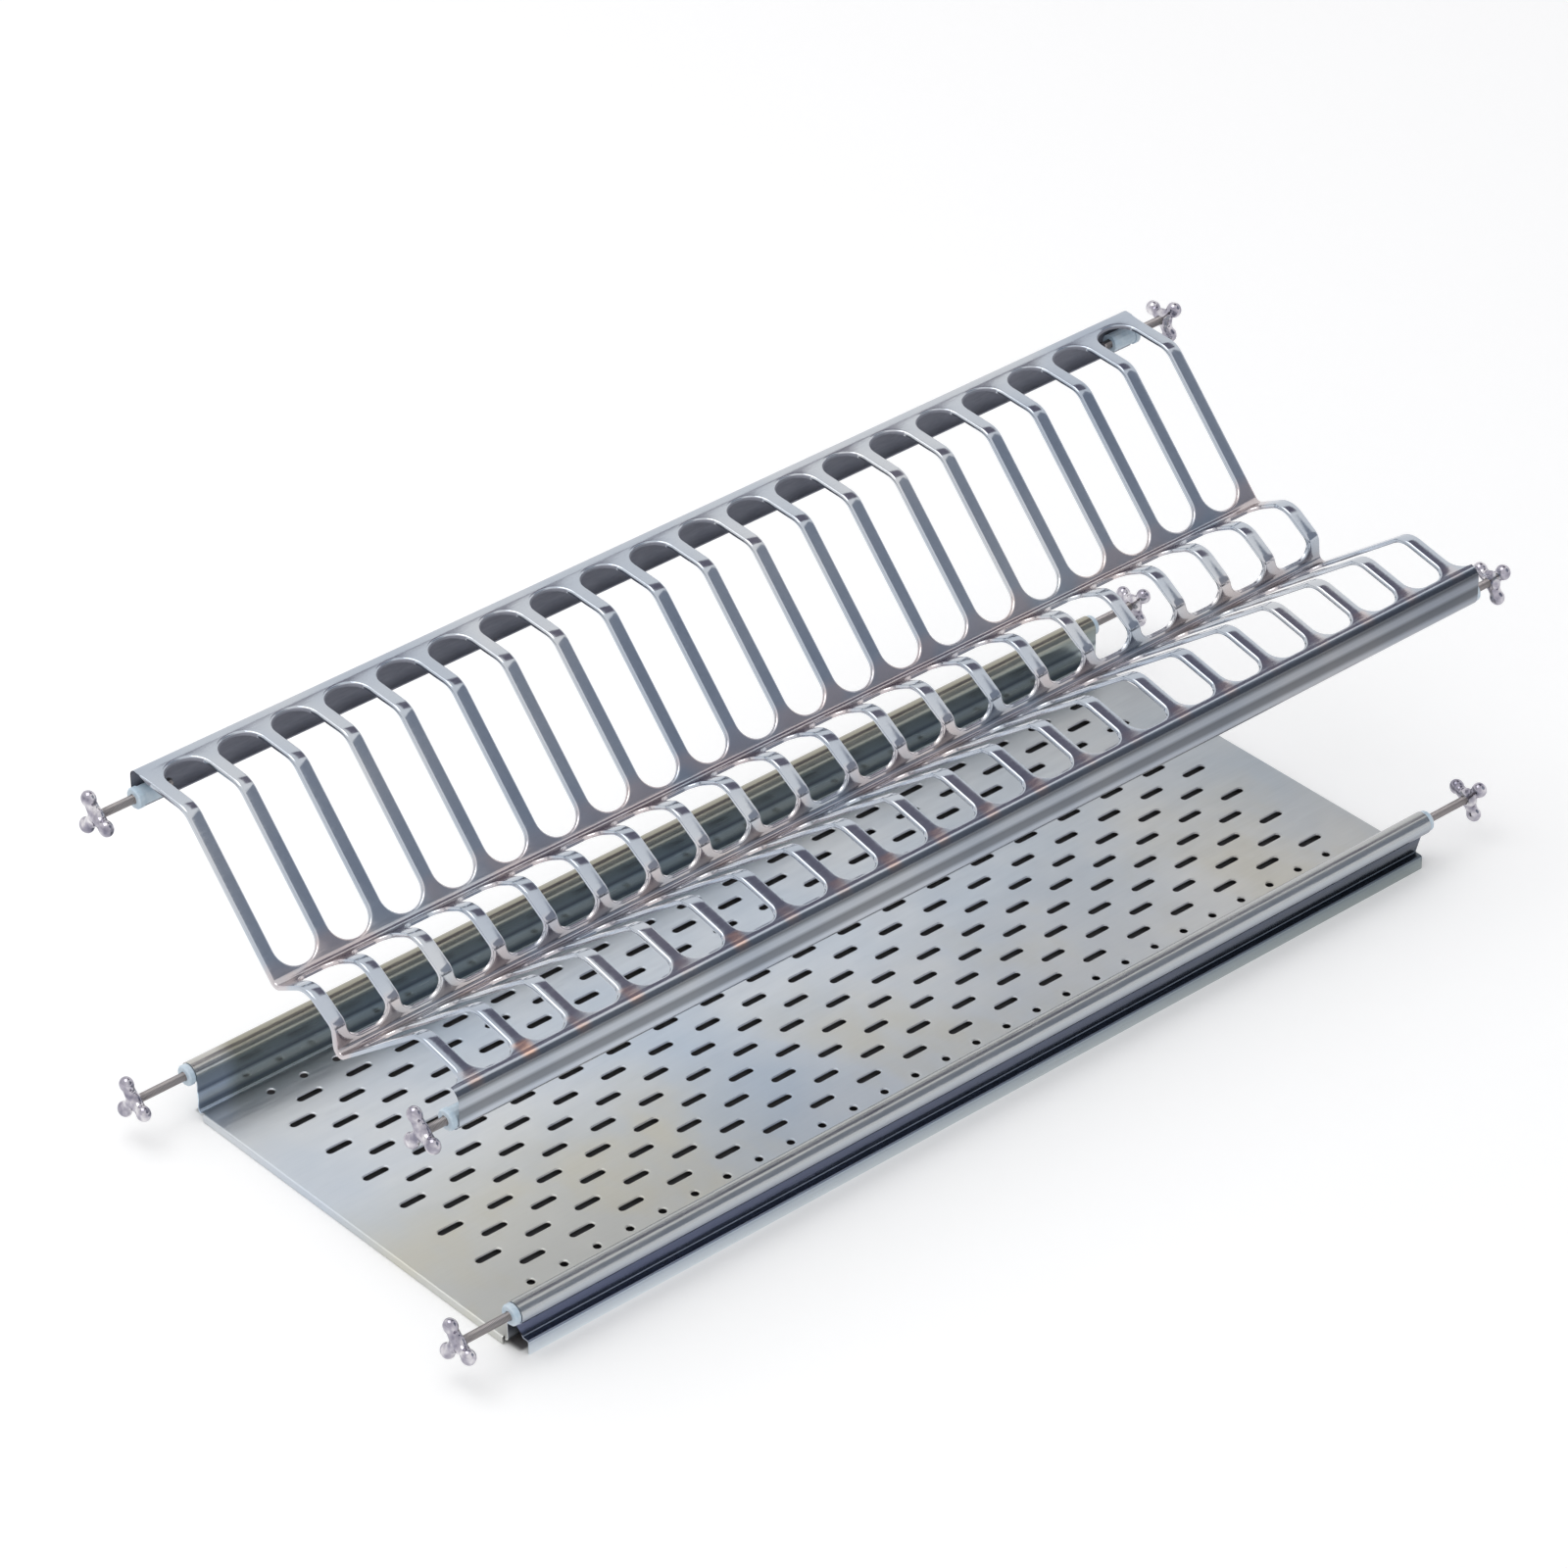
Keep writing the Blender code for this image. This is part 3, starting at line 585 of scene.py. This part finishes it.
def window_row(path, start, end, radius):
    """Stations down one row of windows, with the sheet's edge and the rolled lip's edge at each."""
    wide = radius + LIP_REACH
    top, bottom = start - LIP_REACH, end + LIP_REACH
    rows = []

    def corner(angle, outer, inner, sense):
        back, aside = 1 - math.cos(angle), 1 - math.sin(angle)
        return {
            "length": outer + sense * wide * back,
            "half": HALF_WINDOW + LIP_REACH - wide * aside,
            "lip_length": inner + sense * radius * back,
            "lip_half": HALF_WINDOW - radius * aside,
            "turn": math.sin(angle),
        }

    def angles(origin, sense):
        step = math.pi / 2 / CORNERS
        kept = [step * i for i in range(CORNERS + 1)]
        for length in path.lengths:
            run = (length - origin) * sense
            if 0 < run < wide:
                angle = math.acos(1 - run / wide)
                near = min(kept[1:-1], key=lambda k: abs(k - angle))
                if abs(near - angle) < step / 2:
                    kept[kept.index(near)] = angle
        return sorted(kept)

    for angle in angles(top, 1):
        rows.append(corner(angle, top, start, 1))
    for length in path.lengths:
        if top + wide + STATION_GAP < length < bottom - wide - STATION_GAP:
            rows.append({
                "length": length,
                "half": HALF_WINDOW + LIP_REACH,
                "lip_length": length,
                "lip_half": HALF_WINDOW,
                "turn": 1.0,
            })
    for angle in reversed(angles(bottom, -1)):
        rows.append(corner(angle, bottom, end, -1))
    return rows


def blank_of(mesh, name):
    """A bmesh as an object that modifiers shape further; the bmesh is freed."""
    data = bpy.data.meshes.new(name)
    mesh.to_mesh(data)
    mesh.free()
    made = bpy.data.objects.new(name, data)
    bpy.context.scene.collection.objects.link(made)
    return made


def bake(blank, name, surface, angle):
    """The blank's mesh with its modifiers applied, sharp at edges past the angle; the blank is removed."""
    bpy.context.view_layer.update()
    mesh = bpy.data.meshes.new_from_object(blank.evaluated_get(bpy.context.evaluated_depsgraph_get()))
    mesh.name = name
    mesh.shade_smooth()
    mesh.set_sharp_from_angle(angle=math.radians(angle))
    mesh.materials.clear()
    mesh.materials.append(surface)
    bpy.data.objects.remove(blank)
    return mesh


def sheet_piece(mesh, name, offset, surface, angle, up_face=None):
    """A bmesh surface given the sheet's thickness, as a finished piece; up_face, where given, faces up."""
    if up_face is not None and up_face.normal.z < 0:
        bmesh.ops.reverse_faces(mesh, faces=mesh.faces[:])
    blank = blank_of(mesh, name + "_blank")
    solid = blank.modifiers.new("sheet", "SOLIDIFY")
    solid.thickness = SHEET
    solid.offset = offset
    solid.use_even_offset = True
    made = bpy.data.objects.new(name, bake(blank, name, surface, angle))
    bpy.context.scene.collection.objects.link(made)
    return made


def window_rows(path, at):
    """The three rows of windows: the long one, the hump's and the front one."""
    return [
        window_row(path, at["rear"] + REAR_STRIP, at["seat"] - SEAT_RAIL, LONG_WINDOW_RADIUS),
        window_row(path, at["seat"] + SEAT_RAIL, at["sill"] - HUMP_RAIL, HUMP_WINDOW_RADIUS),
        window_row(path, at["sill"] + SILL_RAIL, at["front"] - FRONT_STRIP, FRONT_WINDOW_RADIUS),
    ]


def rack_stations(path, rows):
    """Every line across the sheet, in order along its section; flare is one where it has its full width."""
    stations = []
    for number, row in enumerate(rows):
        middle = (row[0]["length"] + row[-1]["length"]) / 2
        for item in row:
            outer = (number == 0 and item["length"] < middle) or (row is rows[-1] and item["length"] > middle)
            stations.append({**item, "row": number, "flare": 1 - item["turn"] if outer else 0.0})
    taken = [(row[0]["length"], row[-1]["length"]) for row in rows]
    apart = STATION_GAP * 4
    for length in path.lengths:
        if not any(a - apart < length < b + apart for a, b in taken):
            inside = rows[0][0]["length"] < length < rows[-1][-1]["length"]
            near = min(range(3), key=lambda n: min(abs(length - taken[n][0]), abs(length - taken[n][1])))
            flare, half = 0.0 if inside else 1.0, rows[near][0]["half"]
            stations.append({"length": length, "row": None, "flare": flare, "half": half})
    stations.sort(key=lambda item: item["length"])
    return stations


def rack():
    path, marks = rack_path()
    at = {name: path.nearest_length(place) for name, place in marks.items()}
    stations = rack_stations(path, window_rows(path, at))
    centres = [(i - (SLATS - 2) / 2) * PITCH for i in range(SLATS - 1)]
    edge_in = SLATS_HALF - LIP_REACH
    mesh = bmesh.new()

    def vertex(x, length, depth=0.0):
        place, normal = path.frame_at(length)
        place = place - normal * depth
        return mesh.verts.new((x, place.x, place.y))

    def skirt(rings, closed):
        for a, b in zip(rings, rings[1:]):
            for k in range(0 if closed else 1, len(a)):
                mesh.faces.new([a[k - 1], a[k], b[k], b[k - 1]])

    for item in stations:
        rail = SLATS_HALF if item["length"] < at["seat"] else FRONT_HALF
        item["edge"] = edge_in + (rail - edge_in) * item["flare"]
        xs = [-item["edge"]]
        for centre in centres:
            xs += [centre - item["half"], centre + item["half"]]
        xs.append(item["edge"])
        item["xs"] = xs
        item["v"] = [vertex(x, item["length"]) for x in xs]
    up = None
    for near, far in zip(stations, stations[1:]):
        same = near["row"] is not None and near["row"] == far["row"]
        for i in range(len(near["v"]) - 1):
            if same and i % 2 == 1:
                continue
            face = mesh.faces.new([near["v"][i], near["v"][i + 1], far["v"][i + 1], far["v"][i]])
            if up is None and near["row"] == 0 and near["turn"] > FULL_TURN:
                up = face
    quarter = [math.pi / 2 * k / LIP_RINGS for k in range(1, LIP_RINGS + 1)]
    for number in range(3):
        row = [item for item in stations if item["row"] == number]
        for hole, centre in enumerate(centres):
            loop = [(item, 2 * hole + 1, -1) for item in row]
            loop += [(item, 2 * hole + 2, 1) for item in reversed(row)]
            rings = [[item["v"][i] for item, i, _ in loop]]
            for angle in quarter:
                ring = []
                for item, i, sign in loop:
                    x = item["xs"][i] + (centre + sign * item["lip_half"] - item["xs"][i]) * math.sin(angle)
                    length = item["length"] + (item["lip_length"] - item["length"]) * math.sin(angle)
                    ring.append(vertex(x, length, LIP_DEPTH * (1 - math.cos(angle))))
                rings.append(ring)
            skirt(rings, True)
    for side, sign in ((0, -1), (-1, 1)):
        rings = [[item["v"][side] for item in stations]]
        for angle in quarter:
            ring = []
            for item in stations:
                small = max(1 - item["flare"], LEAST_LIP)
                x = sign * (item["edge"] + LIP_REACH * small * math.sin(angle))
                x = max(min(x, FRONT_HALF), -FRONT_HALF)
                ring.append(vertex(x, item["length"], LIP_DEPTH * small * (1 - math.cos(angle))))
            rings.append(ring)
        skirt(rings, False)
    bmesh.ops.recalc_face_normals(mesh, faces=mesh.faces[:])
    mesh.normal_update()
    made = sheet_piece(mesh, "rack_sheet", -1, SURFACE["rack_steel"], RACK_SHARP, up)
    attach(made, "set")
    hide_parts("plate_rack")


def tray_section():
    """The tray's section as (place, half length): rear roll and wall, then front wall, roll and drip lip."""
    wall = TRAY_ROD_Y - TRAY_ROLL
    floor_end = wall - TRAY_BEND * 2
    rear_rod = Vector((TRAY_ROD_Y, TRAY_ROD_Z))
    front_rod = Vector((-TRAY_ROD_Y, TRAY_ROD_Z))
    roll = arc(rear_rod, TRAY_ROLL, math.pi - TRAY_REAR_WRAP, TRAY_REAR_WRAP, REAR_ROLL_STEPS)
    drop = [(roll[-1], 0), (Vector((wall, 0)), TRAY_BEND), (Vector((floor_end, 0)), 0)]
    rear = [(point, TRAY_HALF) for point in roll[:-1] + rounded(drop, TRAY_BEND_STEPS)[:-1]]
    tube = arc(front_rod, TRAY_ROLL, 0, TRAY_FRONT_WRAP, FRONT_ROLL_STEPS)
    rise = [(Vector((-floor_end, 0)), 0), (Vector((-wall, 0)), TRAY_BEND), (tube[0], 0)]
    neck = Vector((-TRAY_ROD_Y, DRIP_TOP))
    toe = Vector((-TRAY_ROD_Y - DRIP_REACH, DRIP_TOP))
    lip = [(tube[-1], 0), (neck, DRIP_RADIUS), (toe, DRIP_RADIUS), (Vector((toe.x, -LIFT)), 0)]
    front = [(point, TRAY_HALF) for point in rounded(rise, TRAY_BEND_STEPS)[1:] + tube[1:]]
    front += [(point, DRIP_HALF) for point in rounded(lip, TRAY_BEND_STEPS)[1:]]
    floor_half = TRAY_HALF - TRAY_SIDE
    return rear + [(Vector((floor_end, 0)), floor_half)], [(Vector((-floor_end, 0)), floor_half)] + front


def slot(x, y, reach, radius, steps):
    """Outline of a round-ended slot, or of a round hole where it has no reach."""
    points = []
    for sign in (1, -1):
        for step in range(steps + 1):
            if sign == -1 and reach == 0 and step in (0, steps):
                continue
            turn = math.pi * (step / steps - 1 / 2)
            points.append((x + sign * (reach + radius * math.cos(turn)), y + sign * radius * math.sin(turn)))
    return points


def drain_places():
    """Every drain slot and hole of the tray as (x, y, straight half, radius, steps of each round end)."""
    places = []
    for row in range(SLOT_ROWS):
        y = ROWS_Y + (row - (SLOT_ROWS - 1) / 2) * ROW_PITCH
        shift = STAGGER_SHARE if row % 2 == 0 else -STAGGER_SHARE
        for column in range(SLOT_COLUMNS):
            x = (column - (SLOT_COLUMNS - 1) / 2 + shift) * SLOT_PITCH
            places.append((x, y, SLOT_REACH, SLOT_RADIUS, SLOT_STEPS))
    for side in (-1, 1):
        y = ROWS_Y + side * (SLOT_ROWS + 1) / 2 * ROW_PITCH
        for column in range(HOLE_COLUMNS):
            x = (column - (HOLE_COLUMNS - 1) / 2) * HOLE_PITCH
            places.append((x, y, 0, HOLE_RADIUS, HOLE_STEPS))
    return places


def tray():
    rear, front = tray_section()
    mesh = bmesh.new()

    def sweep(part):
        lines = [[mesh.verts.new((sign * half, p.x, LIFT + p.y)) for sign in (-1, 1)] for p, half in part]
        for near, far in zip(lines, lines[1:]):
            mesh.faces.new([near[0], near[1], far[1], far[0]])
        return lines

    rear_line, front_line = sweep(rear)[-1], sweep(front)[0]
    edges = []
    border = [rear_line[0], rear_line[1], front_line[1], front_line[0]]
    for index, corner in enumerate(border):
        pair = (border[index - 1], corner)
        edges.append(mesh.edges.get(pair) or mesh.edges.new(pair))
    rims = []
    for x, y, reach, radius, steps in drain_places():
        ring = [mesh.verts.new((a, b, LIFT)) for a, b in slot(x, y, reach, radius + RIM, steps)]
        edges += [mesh.edges.new((ring[index - 1], corner)) for index, corner in enumerate(ring)]
        rims.append((ring, (x, y, reach, radius, steps)))
    bmesh.ops.triangle_fill(mesh, edges=edges, use_beauty=True, use_dissolve=False, normal=(0, 0, 1))
    for ring, (x, y, reach, radius, steps) in rims:
        for part in range(1, RIM_STEPS + 1):
            turn = math.pi / 2 * part / RIM_STEPS
            grown, drop = RIM * (1 - math.sin(turn)), RIM_DEPTH * (1 - math.cos(turn))
            lower = [mesh.verts.new((a, b, LIFT - drop)) for a, b in slot(x, y, reach, radius + grown, steps)]
            for index in range(len(ring)):
                mesh.faces.new([ring[index - 1], ring[index], lower[index], lower[index - 1]])
            ring = lower
    floor_half = TRAY_HALF - TRAY_SIDE
    for side, sign in ((0, -1), (1, 1)):
        turned = rounded([
            (Vector((sign * floor_half, 0)), 0),
            (Vector((sign * TRAY_HALF, 0)), TRAY_SIDE / 2),
            (Vector((sign * TRAY_HALF, -TRAY_TURN)), 0),
        ], TRAY_SIDE_STEPS)
        ends = (rear_line[side], front_line[side])
        before = ends
        for point in turned[1:]:
            after = [mesh.verts.new((point.x, end.co.y, LIFT + point.y)) for end in ends]
            mesh.faces.new([before[0], before[1], after[1], after[0]])
            before = after
    bmesh.ops.recalc_face_normals(mesh, faces=mesh.faces[:])
    mesh.normal_update()
    made = sheet_piece(mesh, "tray_sheet", 0, SURFACE["tray_steel"], TRAY_SHARP)
    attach(made, "set")
    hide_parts("drip_tray")


def cone(mesh, root, tip, depth, place):
    bmesh.ops.create_cone(
        mesh, cap_ends=True, segments=ROUND_STEPS, radius1=root, radius2=tip, depth=depth, matrix=place)


def star_blank():
    """The star foot's balls and cones, overlapping; x is zero at its outer face."""
    mesh = bmesh.new()

    def ball(place, radius, squash):
        grid = bmesh.ops.create_uvsphere(mesh, u_segments=ROUND_STEPS, v_segments=BALL_RINGS, radius=radius)
        for vert in grid["verts"]:
            vert.co = Vector((vert.co.x * squash, vert.co.y, vert.co.z)) + place

    hub = Vector((STAR_HUB_X, 0, 0))
    ball(hub, STAR_HUB, STAR_HUB_SQUASH)
    for arm in range(3):
        heading = math.tau * arm / 3
        out = Vector((0, math.sin(heading), math.cos(heading)))
        tip = Vector((-STAR_THICK / 2, 0, 0)) + out * STAR_ARM
        ball(tip, STAR_BALL, STAR_THICK / 2 / STAR_BALL)
        run = tip - hub
        turn = run.to_track_quat("Z", "Y").to_matrix().to_4x4()
        cone(mesh, ARM_ROOT, ARM_TIP, run.length, Matrix.Translation(hub + run / 2) @ turn)
    return blank_of(mesh, "star_blank")


def star_bore():
    """The rod's seat in the star foot, as a cutter."""
    mesh = bmesh.new()
    place = Matrix.Translation((-STAR_THICK - BORE_PAST, 0, 0)) @ Matrix.Rotation(math.pi / 2, 4, "Y")
    cone(mesh, BORE, BORE, BORE_LENGTH, place)
    return blank_of(mesh, "star_cutter")


def star_mesh():
    """A cast star foot: hub, three arms and ball tips run together, with the rod's seat cut out."""
    blank, cutter = star_blank(), star_bore()
    skin = blank.modifiers.new("skin", "REMESH")
    skin.mode = "VOXEL"
    skin.voxel_size = CAST_GRAIN
    soft = blank.modifiers.new("soft", "SMOOTH")
    soft.factor = CAST_SOFTNESS
    soft.iterations = CAST_PASSES
    cut = blank.modifiers.new("rod_seat", "BOOLEAN")
    cut.operation = "DIFFERENCE"
    cut.object = cutter
    made = bake(blank, "star_foot", SURFACE["star_zinc"], STAR_SHARP)
    bpy.data.objects.remove(cutter)
    return made


def stars():
    """The eight star feet, each with its place and turn in its own mesh."""
    shared = star_mesh()
    rows = (
        ("rack", RACK_REACH, (("rear", ROD_Y, REAR_ROD_Z), ("front", -ROD_Y, FRONT_ROD_Z))),
        ("tray", TRAY_REACH, (("rear", TRAY_ROD_Y, TRAY_ROD_Z), ("front", -TRAY_ROD_Y, TRAY_ROD_Z))),
    )
    sides = (("left", -1, math.pi, LEFT_TURN), ("right", 1, 0, RIGHT_TURN))
    for prefix, reach, rods in rows:
        for where, y, z in rods:
            for side, sign, half_turn, turn in sides:
                label = f"{prefix}_star_{where}_{side}"
                cast = shared.copy()
                spin = Euler((sign * math.radians(turn), 0, half_turn)).to_matrix().to_4x4()
                cast.transform(Matrix.Translation((sign * reach, y, LIFT + z)) @ spin)
                made = bpy.data.objects.new(label + "_cast", cast)
                bpy.context.scene.collection.objects.link(made)
                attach(made, BODY_OF[label])
                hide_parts(label)


rack()
tray()
stars()


# Studio
def card_mesh(name, width, height):
    mesh = bpy.data.meshes.new(name)
    w, h = width / 2, height / 2
    mesh.from_pydata([(-w, -h, 0), (w, -h, 0), (w, h, 0), (-w, h, 0)], [], [(0, 1, 2, 3)])
    return mesh


def paper(name):
    """A material without any shine."""
    surface, tree, shader = nodes_of(name)
    shader.inputs["Roughness"].default_value = 1.0
    shader.inputs["Specular IOR Level"].default_value = 0.0
    return surface, tree, shader


def flag(name, centre, target, width, height, colour):
    """A dull paper screen that only reflections show."""
    mesh = card_mesh(name, width, height)
    surface, tree, shader = paper(name + "_paper")
    shader.inputs["Base Color"].default_value = (*colour, 1)
    path = tree.nodes.new("ShaderNodeLightPath")
    clear = tree.nodes.new("ShaderNodeBsdfTransparent")
    mix = tree.nodes.new("ShaderNodeMixShader")
    link(tree, path.outputs["Is Camera Ray"], mix.inputs[0])
    link(tree, shader.outputs["BSDF"], mix.inputs[1])
    link(tree, clear.outputs["BSDF"], mix.inputs[2])
    link(tree, mix.outputs["Shader"], tree.nodes["Material Output"].inputs["Surface"])
    mesh.materials.append(surface)
    made = bpy.data.objects.new(name, mesh)
    made.location = centre
    made.rotation_euler = (Vector(target) - Vector(centre)).to_track_quat("Z", "Y").to_euler()
    bpy.context.scene.collection.objects.link(made)


def plainly_seen(tree):
    """One for what the camera sees itself, in a reflection or through something clear."""
    path = tree.nodes.new("ShaderNodeLightPath")
    seen = total(tree, path.outputs["Is Camera Ray"], path.outputs["Is Glossy Ray"])
    return total(tree, seen, path.outputs["Is Transmission Ray"])


def floor():
    """A pale paper floor with a soft glow that fades in hollows, a painted shade; both are painted darker
    under the tray, a painted shadow.
    """
    mesh = card_mesh("floor", FLOOR_SIDE, FLOOR_SIDE)
    made = bpy.data.objects.new("floor", mesh)
    surface, tree, shader = paper("floor_paper")
    # Painted shadow: the paper's colour and glow are dark under the tray.
    under_x = band(tree, axis_value(tree, 0), *SHADE_X, 0.003)
    under_y = band(tree, axis_value(tree, 1), *SHADE_Y, 0.002)
    under = product(tree, under_x, under_y)
    link(tree, mixed(tree, under, (0.86, 0.86, 0.86), (0.24, 0.23, 0.24)), shader.inputs["Base Color"])
    glow = tree.nodes.new("ShaderNodeEmission")
    glow.inputs["Color"].default_value = (1, 1, 1, 1)
    # Painted shade: the glow fades near the object and in hollows.
    open_air = painted_hollow_shade(tree, 0.05, [(0.15, 0.0), (0.70, 1.0)], False)
    open_air = math_node(tree, "SUBTRACT", open_air, under, True)
    strength = product(tree, product(tree, plainly_seen(tree), open_air), FLOOR_GLOW)
    link(tree, strength, glow.inputs["Strength"])
    both = tree.nodes.new("ShaderNodeAddShader")
    link(tree, shader.outputs["BSDF"], both.inputs[0])
    link(tree, glow.outputs["Emission"], both.inputs[1])
    link(tree, both.outputs["Shader"], tree.nodes["Material Output"].inputs["Surface"])
    mesh.materials.append(surface)
    bpy.context.scene.collection.objects.link(made)


def world():
    """An even white surround, weaker as a light than where it is seen."""
    made = bpy.data.worlds.new("studio")
    bpy.context.scene.world = made
    made.use_nodes = True
    tree = made.node_tree
    back = tree.nodes["Background"]
    back.inputs["Color"].default_value = (1, 1, 1, 1)
    strength = mapped(tree, plainly_seen(tree), 0.0, 1.0, SURROUND_LIGHT, SURROUND_SEEN)
    link(tree, strength, back.inputs["Strength"])


def lamp(name, centre, target, size, power):
    """A square area lamp that faces the target."""
    data = bpy.data.lights.new(name, "AREA")
    data.shape = "SQUARE"
    data.size = size
    data.energy = power
    made = bpy.data.objects.new(name, data)
    made.location = centre
    made.rotation_euler = (Vector(target) - Vector(centre)).to_track_quat("-Z", "Y").to_euler()
    bpy.context.scene.collection.objects.link(made)


def camera():
    """The view that was fitted to the photo."""
    data = bpy.data.cameras.new("camera")
    data.sensor_fit = "HORIZONTAL"
    data.sensor_width = SENSOR
    data.lens = LENS
    data.clip_end = 50.0
    made = bpy.data.objects.new("camera", data)
    turn = Matrix.Rotation(math.radians(CAMERA_HEADING), 4, "Z")
    turn = turn @ Matrix.Rotation(math.radians(90 - CAMERA_DOWN), 4, "X")
    turn = turn @ Matrix.Rotation(math.radians(CAMERA_ROLL), 4, "Z")
    made.matrix_world = Matrix.Translation(CAMERA_PLACE) @ turn
    bpy.context.scene.collection.objects.link(made)
    bpy.context.scene.camera = made


floor()
world()
camera()
flag(
    "flag_slate", centre=(1.9, -2.1, 2.1), target=(0, 0, 0.15),
    width=2.8, height=2.4, colour=(0.42, 0.46, 0.54))
flag(
    "flag_plum", centre=(1.45, 0.62, 2.2), target=(1.45, 0.62, 0),
    width=1.5, height=1.5, colour=(0.28, 0.26, 0.33))
lamp("key", centre=(-0.8, 0.6, 2.4), target=(0, 0, 0.1), size=1.6, power=16)

bpy.context.scene.view_settings.view_transform = "Standard"
